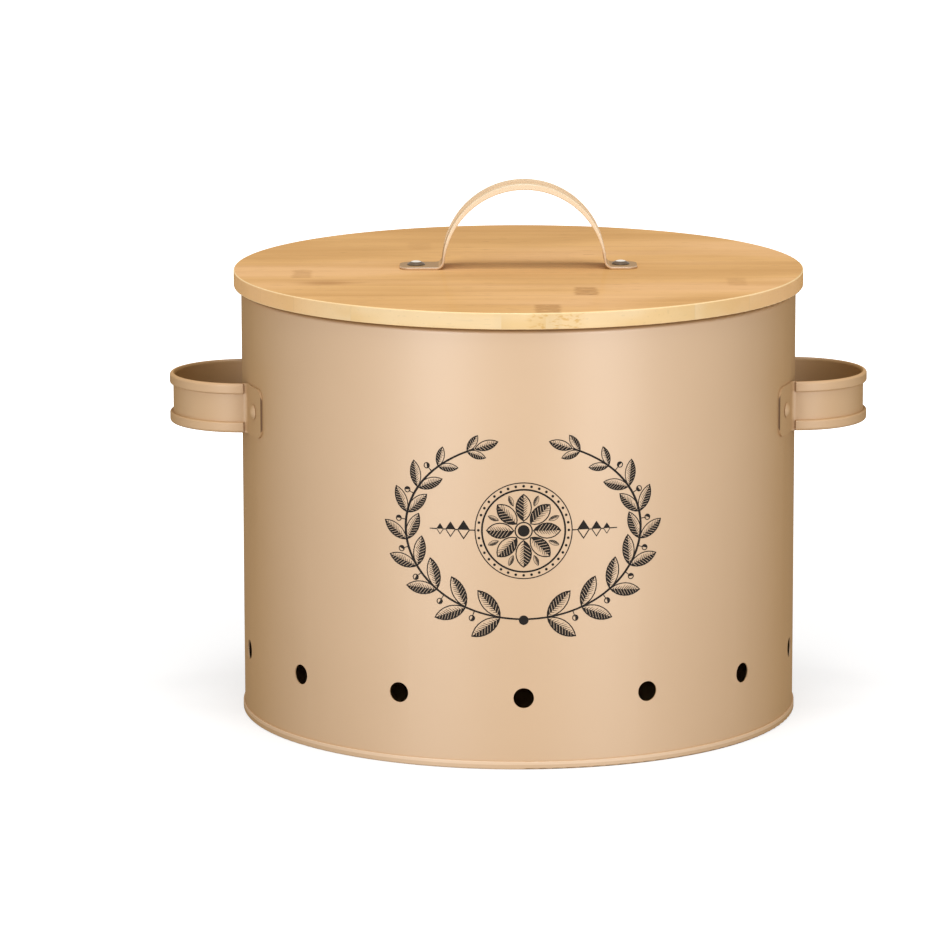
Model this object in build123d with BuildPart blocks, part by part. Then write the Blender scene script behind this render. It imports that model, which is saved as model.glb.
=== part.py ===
from build123d import *
import math
import os

os.makedirs("parts", exist_ok=True)

# A round storage bin of painted sheet steel with a bamboo lid that lifts off.
# Millimetres. The bin stands on Z = 0 with its axis on Z, its front faces -Y and
# its two side handles point along +X and -X.

# ----------------------------------------------------------------------------
# Driving dimensions
# ----------------------------------------------------------------------------

# Body
body_diameter = 224.0  # outside of the wall
body_height = 174.0  # table to the top of the curled rim
body_sheet = 0.5  # thickness of the wall
rim_curl_diameter = 4.5  # the rim is rolled inwards into a hollow bead
rim_curl_turn = 255.0  # degrees from the wall round the curl
vent_count = 14
vent_diameter = 8.0
vent_height = 28.5  # table to the middle of the vents
front_angle = -90.0  # degrees, where the first vent stands
side_seam_lap = 6.0  # width of the doubled sheet inside the side seam
side_seam_line = 0.8  # width of the shallow groove outside it
side_seam_depth = 0.2

# Base
base_sheet = 0.6
base_recess = 3.0  # table to the underside of the base
base_panel_diameter = 176.0  # raised middle panel
base_panel_rise = 1.0
base_panel_slope = 3.0  # run of the step round the panel
base_seam_height = 3.2  # folded edge that shows outside the wall
seam_clearance = 0.05  # between the wall and the folded edge
seam_bend = 0.35  # bends of the folded edge, to the middle of the sheet
base_bend = 1.0  # bends of the panel and of the skirt
base_seam_round = 0.25  # softened top edge of the folded edge

# Side handles
side_handle_drop = 45.5  # rim down to the middle of the handle
side_handle_height = 20.0
side_handle_span = 57.2  # outside of the strap, front to back
side_handle_straight = 0.6  # straight run before the round nose
side_handle_sheet = 0.8
side_roll_height = 4.3  # rolled edges of the strap
side_roll_proud = 1.4  # how far they stand out from the strap
side_foot_bend = 2.4  # bend where the strap turns onto the wall
side_tab_length = 16.4
side_tab_corner = 4.5
tab_clearance = 0.05  # paint film between the tab and the wall

# Side rivets
side_rivet_shank = 3.0
side_rivet_head = 6.0
side_rivet_head_height = 1.5
side_rivet_tail = 4.6
side_rivet_tail_height = 1.0
rivet_clearance = 0.1  # round the shanks
rivet_head_edge = 0.3  # height of the rounded edge of every head

# Lid
lid_thickness = 6.6
lid_overhang = 3.0
lid_edge_round = 0.5
lid_rest_gap = 0.2  # rim to the underside of the lid
plug_thickness = 7.0
plug_clearance = 1.0  # between the plug and the curled rim
plug_chamfer = 1.2
seal_groove_height = 2.6
seal_groove_depth = 2.0
seal_clearance = 0.3  # between the seal's lips and the curled rim
seal_lip = 0.6  # thickness of each lip
seal_fit = 0.05  # between the seal and its groove

# Lid handle
strap_width = 16.0
strap_sheet = 1.0
arch_inner_radius = 32.3
arch_offset = 2.3  # the arch is bent this far off the middle of its feet
strap_roll_width = 2.8  # rolled edges of the arch
strap_roll_crown = 2.5  # their height over the inside of the strap, at the crown
strap_roll_start = 10.0  # degrees above the feet where they begin
strap_foot_bend = 3.0
strap_edge_round = 0.4
strap_end_margin = 6.7  # rivet to the end of each foot
strap_end_corner = 4.5
rivet_from_arch = 8.5  # arch to the rivet, before the offset

# Lid rivets and washers
lid_rivet_shank = 4.0
lid_rivet_head = 7.2
lid_rivet_head_height = 1.7
lid_rivet_tail = 6.0
lid_rivet_tail_height = 1.2
washer_diameter = 11.0
washer_thickness = 0.8

# ----------------------------------------------------------------------------
# Worked out from them
# ----------------------------------------------------------------------------

body_radius = body_diameter / 2
wall_inner_radius = body_radius - body_sheet
wall_middle_radius = body_radius - body_sheet / 2
wall_foot = base_sheet + seam_clearance
curl_middle_radius = (rim_curl_diameter - body_sheet) / 2
curl_centre_radius = wall_middle_radius - curl_middle_radius
curl_centre_height = body_height - rim_curl_diameter / 2
mouth_radius = body_radius - rim_curl_diameter

lid_underside = body_height + lid_rest_gap
lid_top = lid_underside + lid_thickness
plug_underside = lid_underside - plug_thickness
lid_radius = body_radius + lid_overhang
plug_radius = mouth_radius - plug_clearance


def around(angle, radius, height=0.0):
    """The point at this angle and distance round the bin's axis."""
    return Vector(radius, 0, height).rotate(Axis.Z, angle)


def facing_out(angle, radius, height):
    """A plane square to the wall that faces outwards, with its origin at this point."""
    return Plane(origin=around(angle, radius, height), z_dir=around(angle, 1))


def make_rivet(name, plane, shank, head, head_height, grip, tail, tail_height):
    """A closed rivet on the plane's local Y, with the seat of its head at the plane's origin."""
    with BuildPart() as rivet:
        with BuildSketch(plane):
            with BuildLine():
                dome = TangentArc((0, head_height), (head / 2, rivet_head_edge), tangent=(1, 0))
                Polyline(
                    dome @ 1,
                    (head / 2 - rivet_head_edge, 0),
                    (shank / 2, 0),
                    (shank / 2, -grip),
                    (tail / 2, -grip),
                    (tail / 2, -grip - tail_height / 2),
                    (shank / 2, -grip - tail_height),
                    (0, -grip - tail_height),
                    (0, head_height),
                )
            make_face()
        revolve(axis=Axis(plane.origin, plane.y_dir))
    rivet.part.label = name
    export_step(rivet.part, f"parts/{name}.step")


# ----------------------------------------------------------------------------
# Where the side handles and their rivets lie, which the wall is drilled for
# ----------------------------------------------------------------------------

side_handle_middle = body_height - side_handle_drop
side_handle_foot = side_handle_middle - side_handle_height / 2
tab_radius = body_radius + tab_clearance + side_handle_sheet / 2
tab_outside = tab_radius + side_handle_sheet / 2
side_grip = (side_handle_span - side_handle_sheet) / 2  # axis to the middle of the strap's straight runs
side_bend_y = side_grip + side_foot_bend
side_bend_x = math.sqrt((tab_radius + side_foot_bend) ** 2 - side_bend_y**2)
tab_start = math.degrees(math.atan2(side_bend_y, side_bend_x))
tab_turn = math.degrees(side_tab_length / tab_radius)
tab_rivet = tab_start + tab_turn / 2

side_rivet_hole = side_rivet_shank / 2 + rivet_clearance
side_rivet_grip = tab_outside - wall_inner_radius
side_drill_start = tab_outside + side_rivet_grip
side_drill_depth = 3 * side_rivet_grip
side_rivet_angles = {
    "side_rivet_right_front": -tab_rivet,
    "side_rivet_right_back": tab_rivet,
    "side_rivet_left_front": 180 + tab_rivet,
    "side_rivet_left_back": 180 - tab_rivet,
}
side_rivet_planes = {
    name: facing_out(angle, side_drill_start, side_handle_middle) for name, angle in side_rivet_angles.items()
}

# ----------------------------------------------------------------------------
# Body shell: a rolled wall with a curled rim, a side seam and a ring of vents
# ----------------------------------------------------------------------------

vent_pitch = 360 / vent_count
vent_punch_start = body_radius + body_sheet
vent_punch_depth = 4 * body_sheet
vent_angles = [front_angle + k * vent_pitch for k in range(vent_count)]
vent_planes = [facing_out(angle, vent_punch_start, vent_height) for angle in vent_angles]
seam_angle = front_angle + 180 + vent_pitch / 2  # at the back, half way between two vents
seam_foot = base_recess + base_sheet + body_sheet
lap_head = curl_centre_height - rim_curl_diameter
lap_turn = math.degrees(side_seam_lap / wall_inner_radius)
line_turn = math.degrees(side_seam_line / body_radius)

with BuildPart() as body_shell:
    with BuildSketch(Plane.XZ):
        with BuildLine():
            Line((wall_middle_radius, wall_foot), (wall_middle_radius, curl_centre_height))
            CenterArc((curl_centre_radius, curl_centre_height), curl_middle_radius, 0, rim_curl_turn)
        trace(line_width=body_sheet)
    revolve(axis=Axis.Z)
    with BuildSketch(Plane.XY.offset(seam_foot)):
        with BuildLine():
            CenterArc((0, 0), wall_inner_radius - body_sheet / 2, seam_angle, lap_turn)
        trace(line_width=body_sheet)
    extrude(amount=lap_head - seam_foot)
    with BuildSketch(Plane.XY.offset(seam_foot)):
        with BuildLine():
            CenterArc((0, 0), body_radius, seam_angle, line_turn)
        trace(line_width=2 * side_seam_depth)
    extrude(amount=curl_centre_height - seam_foot, mode=Mode.SUBTRACT)
    with Locations(*vent_planes):
        Hole(vent_diameter / 2, depth=vent_punch_depth)
    with Locations(*side_rivet_planes.values()):
        Hole(side_rivet_hole, depth=side_drill_depth)
body_shell.part.label = "body_shell"
export_step(body_shell.part, "parts/body_shell.step")

# ----------------------------------------------------------------------------
# Base plate: pressed in one piece, its edge folded round the foot of the wall
# ----------------------------------------------------------------------------

skirt_inside = wall_inner_radius - seam_clearance - base_sheet / 2
skirt_outside = body_radius + seam_clearance + base_sheet / 2
base_middle = base_recess + base_sheet / 2
panel_middle = base_middle + base_panel_rise
panel_radius = base_panel_diameter / 2

with BuildPart() as base_plate:
    with BuildSketch(Plane.XZ):
        with BuildLine():
            FilletPolyline(
                (0, panel_middle),
                (panel_radius - base_panel_slope, panel_middle),
                (panel_radius, base_middle),
                (skirt_inside, base_middle),
                (skirt_inside, base_sheet / 2),
                (skirt_outside, base_sheet / 2),
                (skirt_outside, base_seam_height),
                radius=[base_bend, base_bend, base_bend, seam_bend, seam_bend],
            )
        trace(line_width=base_sheet)
    revolve(axis=Axis.Z)
    seam_top = faces().filter_by(Axis.Z).sort_by(lambda f: abs(f.center().Z - base_seam_height))[0]
    fillet(seam_top.edges().sort_by(SortBy.RADIUS)[-1], base_seam_round)
base_plate.part.label = "base_plate"
export_step(base_plate.part, "parts/base_plate.step")

# ----------------------------------------------------------------------------
# Side handles: a strap with rolled edges, bent into a loop with two flat tabs
# ----------------------------------------------------------------------------

loop_centre = side_bend_x + side_handle_straight
roll_out = side_handle_sheet + side_roll_proud
roll_round = roll_out / 2  # the sheet is rolled over in a half circle
roll_lip = side_roll_proud / 2
section_top = side_handle_height / 2
round_height = section_top - roll_round
lip_height = section_top - side_roll_height
loop_start = Vector(side_bend_x, side_grip - side_handle_sheet / 2, side_handle_middle)
loop_section = Plane(origin=loop_start, x_dir=(0, 1, 0), z_dir=(1, 0, 0))

with BuildPart() as side_handle_right:
    with BuildLine() as loop_path:
        Line((side_bend_x, side_grip, side_handle_middle), (loop_centre, side_grip, side_handle_middle))
        CenterArc((loop_centre, 0, side_handle_middle), side_grip, 90, -180)
        Line((loop_centre, -side_grip, side_handle_middle), (side_bend_x, -side_grip, side_handle_middle))
    with BuildSketch(loop_section):
        with BuildLine():
            Line((0, 0), (0, round_height))
            ThreePointArc((0, round_height), (roll_round, section_top), (roll_out, round_height))
            Line((roll_out, round_height), (roll_out, lip_height + roll_lip))
            CenterArc((roll_out - roll_lip, lip_height + roll_lip), roll_lip, 0, -90)
            Line((roll_out - roll_lip, lip_height), (side_handle_sheet, lip_height))
            Line((side_handle_sheet, lip_height), (side_handle_sheet, 0))
            mirror(about=Plane.XZ)
        make_face()
    sweep(path=loop_path.line)
    with BuildSketch(Plane.XY.offset(side_handle_foot)):
        with BuildLine():
            CenterArc((0, 0), tab_radius, tab_start, tab_turn)
            CenterArc((side_bend_x, side_bend_y), side_foot_bend, 180 + tab_start, 90 - tab_start)
            mirror(about=Plane.XZ)
        trace(line_width=side_handle_sheet)
    extrude(amount=side_handle_height)
    tab_ends = edges().filter_by(lambda e: abs(e.length - side_handle_sheet) < 1e-3)
    fillet(tab_ends.sort_by(lambda e: -abs(e.center().Y))[:4], side_tab_corner)
    with Locations(side_rivet_planes["side_rivet_right_front"], side_rivet_planes["side_rivet_right_back"]):
        Hole(side_rivet_hole, depth=side_drill_depth)
side_handle_right.part.label = "side_handle_right"
export_step(side_handle_right.part, "parts/side_handle_right.step")

with BuildPart() as side_handle_left:
    add(side_handle_right.part, rotation=(0, 0, 180))
side_handle_left.part.label = "side_handle_left"
export_step(side_handle_left.part, "parts/side_handle_left.step")

# ----------------------------------------------------------------------------
# Side rivets: head outside the tab, tail closed up inside the wall
# ----------------------------------------------------------------------------

# The flat tail seats inside a round wall, so it stands off by the wall's sagitta.
tail_seat = math.sqrt(wall_inner_radius**2 - (side_rivet_tail / 2) ** 2)

for name, angle in side_rivet_angles.items():
    head_seat = around(angle, tab_outside, side_handle_middle)
    make_rivet(
        name,
        Plane(origin=head_seat, x_dir=(0, 0, 1), z_dir=around(angle + 90, 1)),
        side_rivet_shank,
        side_rivet_head,
        side_rivet_head_height,
        tab_outside - tail_seat,
        side_rivet_tail,
        side_rivet_tail_height,
    )

# ----------------------------------------------------------------------------
# Lid board: a round bamboo board, drilled for the handle's rivets
# ----------------------------------------------------------------------------

strap_middle_radius = arch_inner_radius + strap_sheet / 2
lid_rivet_x = strap_middle_radius + rivet_from_arch
lid_rivet_hole = lid_rivet_shank / 2 + rivet_clearance

with BuildPart() as lid_board:
    with BuildSketch(Plane.XY.offset(lid_underside)):
        Circle(lid_radius)
        with Locations((-lid_rivet_x, 0), (lid_rivet_x, 0)):
            Circle(lid_rivet_hole, mode=Mode.SUBTRACT)
    extrude(amount=lid_thickness)
    fillet(edges().filter_by(GeomType.CIRCLE).sort_by(SortBy.RADIUS)[-2:], lid_edge_round)
lid_board.part.label = "lid_board"
export_step(lid_board.part, "parts/lid_board.step")

# ----------------------------------------------------------------------------
# Lid plug: the smaller disc that drops into the mouth, grooved for the seal
# ----------------------------------------------------------------------------

groove_floor = plug_radius - seal_groove_depth
groove_foot = curl_centre_height - seal_groove_height / 2

with BuildPart() as lid_plug:
    with BuildSketch(Plane.XY.offset(plug_underside)):
        Circle(plug_radius)
        with Locations((-lid_rivet_x, 0), (lid_rivet_x, 0)):
            Circle(lid_rivet_hole, mode=Mode.SUBTRACT)
    extrude(amount=plug_thickness)
    chamfer(edges().filter_by(GeomType.CIRCLE).group_by(Axis.Z)[0].sort_by(SortBy.RADIUS)[-1], plug_chamfer)
    with BuildSketch(Plane.XY.offset(groove_foot)):
        Circle(plug_radius + seal_groove_depth)
        Circle(groove_floor, mode=Mode.SUBTRACT)
    extrude(amount=seal_groove_height, mode=Mode.SUBTRACT)
lid_plug.part.label = "lid_plug"
export_step(lid_plug.part, "parts/lid_plug.step")

# ----------------------------------------------------------------------------
# Lid seal ring: a soft ring with two lips that press on the curled rim
# ----------------------------------------------------------------------------

seal_inside = groove_floor + seal_fit
seal_root = plug_radius
seal_outside = mouth_radius - seal_clearance
seal_foot = groove_foot + seal_fit
seal_head = groove_foot + seal_groove_height - seal_fit

with BuildPart() as lid_seal_ring:
    with BuildSketch(Plane.XZ):
        with BuildLine():
            Polyline(
                (seal_inside, seal_foot),
                (seal_outside, seal_foot),
                (seal_outside, seal_foot + seal_lip),
                (seal_root, seal_foot + seal_lip),
                (seal_root, seal_head - seal_lip),
                (seal_outside, seal_head - seal_lip),
                (seal_outside, seal_head),
                (seal_inside, seal_head),
                close=True,
            )
        make_face()
    revolve(axis=Axis.Z)
lid_seal_ring.part.label = "lid_seal_ring"
export_step(lid_seal_ring.part, "parts/lid_seal_ring.step")

# ----------------------------------------------------------------------------
# Lid handle: a strap bent into an arch, its edges rolled up towards the crown
# ----------------------------------------------------------------------------

strap_middle_height = lid_top + strap_sheet / 2
strap_end = lid_rivet_x + strap_end_margin
bend_rise = strap_sheet / 2 + strap_foot_bend
bend_reach = math.sqrt((strap_middle_radius + strap_foot_bend) ** 2 - bend_rise**2)
bend_angle = math.degrees(math.asin(bend_rise / (strap_middle_radius + strap_foot_bend)))
left_bend_x = arch_offset - bend_reach
right_bend_x = arch_offset + bend_reach
bend_height = strap_middle_height + strap_foot_bend

# The rolled edge lies between the strap's inner arc and a larger arc set higher,
# which meets the outside of the strap at strap_roll_start and is tallest at the crown.
roll_crown_radius = arch_inner_radius + strap_roll_crown
roll_start_radius = arch_inner_radius + strap_sheet
roll_start_sine = math.sin(math.radians(strap_roll_start))
roll_start_cosine = math.cos(math.radians(strap_roll_start))
roll_lift = (roll_crown_radius**2 - roll_start_radius**2) / (
    2 * (roll_crown_radius - roll_start_radius * roll_start_sine)
)
roll_foot_x = roll_start_radius * roll_start_cosine
roll_foot_height = lid_top + roll_start_radius * roll_start_sine
roll_inner_x = strap_middle_radius * roll_start_cosine
roll_inner_height = lid_top + strap_middle_radius * roll_start_sine

with BuildPart() as lid_handle:
    with BuildSketch(Plane.XZ):
        with BuildLine():
            Line((-strap_end, strap_middle_height), (left_bend_x, strap_middle_height))
            CenterArc((left_bend_x, bend_height), strap_foot_bend, 270, 90 - bend_angle)
            CenterArc((arch_offset, lid_top), strap_middle_radius, 180 - bend_angle, 2 * bend_angle - 180)
            CenterArc((right_bend_x, bend_height), strap_foot_bend, 180 + bend_angle, 90 - bend_angle)
            Line((right_bend_x, strap_middle_height), (strap_end, strap_middle_height))
        trace(line_width=strap_sheet)
    extrude(amount=strap_width / 2, both=True)
    foot_ends = edges().filter_by(Axis.Z).group_by(SortBy.LENGTH)[-1]
    fillet(foot_ends, strap_end_corner)
    for side in (-1, 1):
        roll_plane = Plane.XZ.offset(side * (strap_width - strap_roll_width) / 2)
        with BuildSketch(roll_plane):
            with BuildLine():
                ThreePointArc(
                    (arch_offset - roll_foot_x, roll_foot_height),
                    (arch_offset, lid_top + roll_crown_radius),
                    (arch_offset + roll_foot_x, roll_foot_height),
                )
                Line(
                    (arch_offset + roll_foot_x, roll_foot_height),
                    (arch_offset + roll_inner_x, roll_inner_height),
                )
                ThreePointArc(
                    (arch_offset + roll_inner_x, roll_inner_height),
                    (arch_offset, lid_top + strap_middle_radius),
                    (arch_offset - roll_inner_x, roll_inner_height),
                )
                Line(
                    (arch_offset - roll_inner_x, roll_inner_height),
                    (arch_offset - roll_foot_x, roll_foot_height),
                )
            make_face()
        extrude(amount=strap_roll_width / 2, both=True)
    strap_edges = edges().filter_by_position(Axis.Y, strap_width / 2, strap_width / 2)
    strap_edges += edges().filter_by_position(Axis.Y, -strap_width / 2, -strap_width / 2)
    fillet(strap_edges, strap_edge_round)
    with Locations((-lid_rivet_x, 0, lid_top + strap_sheet), (lid_rivet_x, 0, lid_top + strap_sheet)):
        Hole(lid_rivet_hole, depth=2 * strap_sheet)
lid_handle.part.label = "lid_handle"
export_step(lid_handle.part, "parts/lid_handle.step")

# ----------------------------------------------------------------------------
# Lid rivets and washers: from the feet of the handle down through board and plug
# ----------------------------------------------------------------------------

rivet_seat = lid_top + strap_sheet
washer_underside = plug_underside - washer_thickness
lid_rivet_places = {"left": -lid_rivet_x, "right": lid_rivet_x}

for side, x in lid_rivet_places.items():
    make_rivet(
        f"lid_rivet_{side}",
        Plane(origin=(x, 0, rivet_seat), x_dir=(1, 0, 0), z_dir=(0, -1, 0)),
        lid_rivet_shank,
        lid_rivet_head,
        lid_rivet_head_height,
        rivet_seat - washer_underside,
        lid_rivet_tail,
        lid_rivet_tail_height,
    )

    with BuildPart() as lid_washer:
        with BuildSketch(Plane.XY.offset(washer_underside)):
            with Locations((x, 0)):
                Circle(washer_diameter / 2)
                Circle(lid_rivet_hole, mode=Mode.SUBTRACT)
        extrude(amount=washer_thickness)
    lid_washer.part.label = f"lid_washer_{side}"
    export_step(lid_washer.part, f"parts/lid_washer_{side}.step")
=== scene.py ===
# %% [markdown]
# # A vented storage bin of painted steel with a bamboo lid
# The bin is a rolled steel wall with a folded base, two strap handles and a ring of air vents.
# Its lid is a round bamboo board with an arched steel handle. The solid parts come in as they
# are, at their real size. This lesson paints the steel, grows the bamboo, polishes the rivets
# and prints an ornament on the front.

# %% Load the parts
import math
import random
import bmesh
import bpy
from mathutils import Matrix, Vector


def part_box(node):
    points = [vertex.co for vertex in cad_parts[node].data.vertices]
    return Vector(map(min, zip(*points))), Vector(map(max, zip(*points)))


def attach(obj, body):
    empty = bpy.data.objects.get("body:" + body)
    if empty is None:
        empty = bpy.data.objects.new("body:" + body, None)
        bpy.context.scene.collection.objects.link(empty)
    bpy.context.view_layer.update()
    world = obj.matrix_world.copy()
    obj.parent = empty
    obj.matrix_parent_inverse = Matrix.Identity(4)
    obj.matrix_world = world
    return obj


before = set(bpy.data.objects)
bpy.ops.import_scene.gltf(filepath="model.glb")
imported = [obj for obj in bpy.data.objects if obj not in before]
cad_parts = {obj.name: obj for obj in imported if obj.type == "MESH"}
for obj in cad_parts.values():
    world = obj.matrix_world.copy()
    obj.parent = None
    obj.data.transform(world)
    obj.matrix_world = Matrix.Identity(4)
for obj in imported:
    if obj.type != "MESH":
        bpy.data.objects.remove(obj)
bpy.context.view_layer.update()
print("Parts:", ", ".join(sorted(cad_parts)))

# %% [markdown]
# ## Sizes
# The wall, the lid and the handles give their own places, so the print stays on the wall and
# the paint's accents stay on their edges if a size changes.

# %% Measure the parts
MM = 0.001


def reach(node):
    """The furthest that a part's mesh reaches from the bin's upright axis."""
    return max(vertex.co.xy.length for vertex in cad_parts[node].data.vertices)


wall_radius = reach("body_shell")
wall_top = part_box("body_shell")[1].z
lid_radius = reach("lid_board")
lid_underside, lid_top = (corner.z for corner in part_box("lid_board"))
print(f"Wall {2 * wall_radius / MM:.1f} mm across, lid {2 * lid_radius / MM:.1f} mm across")
print(f"Lid from {lid_underside / MM:.1f} to {lid_top / MM:.1f} mm up")

# %% [markdown]
# ## Camera
# A long lens from over two metres away keeps the upright wall upright. The camera looks down at the
# lid by eleven degrees, so its top shows as a flat ellipse. Rotations are multiplied in the
# order turn, tilt, roll, which is easier to read than three Euler angles.

# %% Place the camera
camera_place = Vector((-39.2, -2177.1, 521.8)) * MM
camera_turn = math.radians(-0.513)
camera_tilt = math.radians(90 - 11.035)
camera_roll = math.radians(-0.124)
camera_lens = 208.8

lens = bpy.data.cameras.new("camera")
lens.lens = camera_lens
lens.sensor_width = 36
lens.clip_end = 50
camera = bpy.data.objects.new("camera", lens)
camera.matrix_world = (
    Matrix.Translation(camera_place)
    @ Matrix.Rotation(camera_turn, 4, "Z")
    @ Matrix.Rotation(camera_tilt, 4, "X")
    @ Matrix.Rotation(camera_roll, 4, "Z")
)
bpy.context.scene.collection.objects.link(camera)
bpy.context.scene.camera = camera
bpy.context.scene.view_settings.view_transform = "Standard"
print(f"Camera {camera_place.length:.2f} m from the bin, {lens.lens:.0f} mm lens")

# %% [markdown]
# ## Node helpers
# A material is a small graph. These helpers make one node, or one step of arithmetic, per line,
# so that each finish below reads as a recipe. Colours are written as they look on a screen and
# turned into the linear light that the shaders work in.


# %% Helpers for nodes
def tone(red, green, blue):
    """A screen colour, 0 to 255 each, as linear light with full alpha."""
    shares = (red / 255, green / 255, blue / 255)
    return [s / 12.92 if s <= 0.04045 else ((s + 0.055) / 1.055) ** 2.4 for s in shares] + [1]


def add(tree, kind, **settings):
    """A new node of this kind with these settings."""
    node = tree.nodes.new("ShaderNode" + kind)
    for name, value in settings.items():
        setattr(node, name, value)
    return node


def feed(tree, socket, value):
    """Wires another socket into this one, or sets it to a plain value."""
    if isinstance(value, bpy.types.NodeSocket):
        tree.links.new(value, socket)
    else:
        socket.default_value = value


def maths(tree, operation, first, second=0.0, clamp=False):
    """One step of arithmetic on two numbers."""
    node = add(tree, "Math", operation=operation, use_clamp=clamp)
    feed(tree, node.inputs[0], first)
    feed(tree, node.inputs[1], second)
    return node.outputs[0]


def vectors(tree, operation, first, second=None):
    """One step of arithmetic on two vectors; lengths and dot products come out as numbers."""
    node = add(tree, "VectorMath", operation=operation)
    feed(tree, node.inputs[0], first)
    if second is not None:
        feed(tree, node.inputs[1], second)
    return node.outputs["Value" if operation in ("LENGTH", "DOT_PRODUCT") else "Vector"]


def own_normal(tree):
    """The surface's own normal, in the part's coordinates."""
    return add(tree, "TexCoord").outputs["Normal"]


def spread(tree, value, low, high, to_low=0.0, to_high=1.0):
    """Spreads the range low..high over to_low..to_high with soft ends."""
    node = add(tree, "MapRange", interpolation_type="SMOOTHSTEP")
    for name, setting in zip(("Value", "From Min", "From Max", "To Min", "To Max"),
                             (value, low, high, to_low, to_high)):
        feed(tree, node.inputs[name], setting)
    return node.outputs["Result"]


def blend_colours(tree, factor, first, second, blend="MIX"):
    """Mixes two colours by a factor."""
    node = add(tree, "Mix", data_type="RGBA", blend_type=blend)
    feed(tree, node.inputs["Factor"], factor)
    feed(tree, node.inputs[6], first)
    feed(tree, node.inputs[7], second)
    return node.outputs[2]


def stretched(tree, point, scale):
    """The same point with each axis scaled, for patterns longer one way than another."""
    return vectors(tree, "MULTIPLY", point, scale)


def noise(tree, point, scale, detail=2.0, roughness=0.5):
    """Soft random values from 0 to 1, with lumps about one over scale wide."""
    node = add(tree, "TexNoise")
    feed(tree, node.inputs["Vector"], point)
    node.inputs["Scale"].default_value = scale
    node.inputs["Detail"].default_value = detail
    node.inputs["Roughness"].default_value = roughness
    return node.outputs["Fac"]


print("Helpers ready")

# %% [markdown]
# ## Shader groups
# Two effects turn up in more than one finish. Orange peel is the faint waviness that a sprayed
# coat keeps when it dries, and both the paint and the ink have it. Fibre is a noise pulled out
# along the grain, which the board and the plug share. Each is a group with named inputs, built
# once, and a material places it with its own values.


# %% Helpers for groups
def new_group(name, inputs, outputs):
    """A shader group with these sockets, and its input and output nodes."""
    tree = bpy.data.node_groups.new(name, "ShaderNodeTree")
    for label, (kind, default) in inputs.items():
        socket = tree.interface.new_socket(label, in_out="INPUT", socket_type="NodeSocket" + kind)
        if default is not None:
            socket.default_value = default
    for label, kind in outputs.items():
        tree.interface.new_socket(label, in_out="OUTPUT", socket_type="NodeSocket" + kind)
    return tree, tree.nodes.new("NodeGroupInput"), tree.nodes.new("NodeGroupOutput")


def place_group(tree, group, **values):
    """The group as a node in a material, with its inputs set or wired."""
    node = add(tree, "Group", node_tree=group)
    for label, value in values.items():
        feed(tree, node.inputs[label], value)
    return node


# %% Orange peel
peel_group, peel_in, peel_out = new_group(
    "orange_peel",
    {"Point": ("Vector", None), "Size": ("Float", 1.5 * MM)},
    {"Height": "Float", "Mottle": "Float"},
)
peel_size = add(peel_group, "CombineXYZ")
for axis in range(3):
    feed(peel_group, peel_size.inputs[axis], peel_in.outputs["Size"])
peel_point = vectors(peel_group, "DIVIDE", peel_in.outputs["Point"], peel_size.outputs[0])
feed(peel_group, peel_out.inputs["Height"], noise(peel_group, peel_point, 1.0, 1.0))
feed(peel_group, peel_out.inputs["Mottle"], noise(peel_group, peel_point, 0.04, 3.0))
print("Group:", peel_group.name)

# %% Bamboo fibre
fibre_group, fibre_in, fibre_out = new_group(
    "bamboo_fibre",
    {"Point": ("Vector", None), "Strip": ("Float", 0.0)},
    {"Streak": "Float", "Pore": "Float", "Cloud": "Float", "Dash": "Float"},
)
strip_shift = add(fibre_group, "CombineXYZ")
shift_along = maths(fibre_group, "MULTIPLY", fibre_in.outputs["Strip"], 3.0)
feed(fibre_group, strip_shift.inputs["X"], shift_along)
fibre_point = vectors(fibre_group, "ADD", fibre_in.outputs["Point"], strip_shift.outputs[0])
fibre_patterns = {
    # lumps per metre along and across the grain, detail, roughness
    "Streak": (6, 120, 4.0, 0.6),
    "Pore": (60, 2400, 1.0, 0.5),
    "Cloud": (7, 60, 2.0, 0.5),
    "Dash": (120, 1500, 0.0, 0.5),
}
for label, (along, across, detail, roughness) in fibre_patterns.items():
    pulled = stretched(fibre_group, fibre_point, (along, across, across))
    feed(fibre_group, fibre_out.inputs[label], noise(fibre_group, pulled, 1.0, detail, roughness))
print("Group:", fibre_group.name)

# %% [markdown]
# ## Painted steel
# The sheet is sprayed with a satin powder coat of a warm beige. It reads as paint when three
# things are right: a base colour that barely drifts, a broad soft sheen, and orange peel about
# a millimetre and a half wide, far too shallow to see as bumps. The sheen is a coat whose weight
# falls off as the surface turns away, or the white room would wash out the sides of the wall.
# A darker band along the top of the rolled rim is painted shade, for the shadow under the lid's edge.
#
# The rim is also where a mesh gives itself away: its narrow triangles bend the sheen into small
# scallops. A roll has a simple true normal, straight out from the middle of its section, so the
# material works that out from the bin's own coordinates instead of trusting the corners.


# %% Paint
paint_deep = tone(193, 156, 113)
paint_full = tone(195, 158, 115)
paint_shade = tone(136, 104, 62)  # painted shade: under the lid's edge, inside the side handles, along the strap's arris
paint_highlight = tone(217, 183, 145)  # painted highlight along the top of the folded foot
peel_waves = 1.5 * MM
peel_depth = 0.002 * MM
rim_shade_height = 1.0 * MM  # height of the painted shade line on the curled rim
curl_radius = 2.25 * MM  # of the rolled rim's section
curl_middle = wall_radius - curl_radius  # from the bin's axis
curl_height = wall_top - curl_radius


def new_material(name):
    """An empty material, its node tree, its shader and its Object coordinates."""
    material = bpy.data.materials.new(name)
    material.use_nodes = True
    tree = material.node_tree
    return material, tree, tree.nodes["Principled BSDF"], add(tree, "TexCoord").outputs["Object"]


def dress(material, *node_names):
    """Gives these parts a material."""
    for node_name in node_names:
        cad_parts[node_name].material_slots[0].material = material
    print(f"{material.name}: {', '.join(node_names)}")


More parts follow.
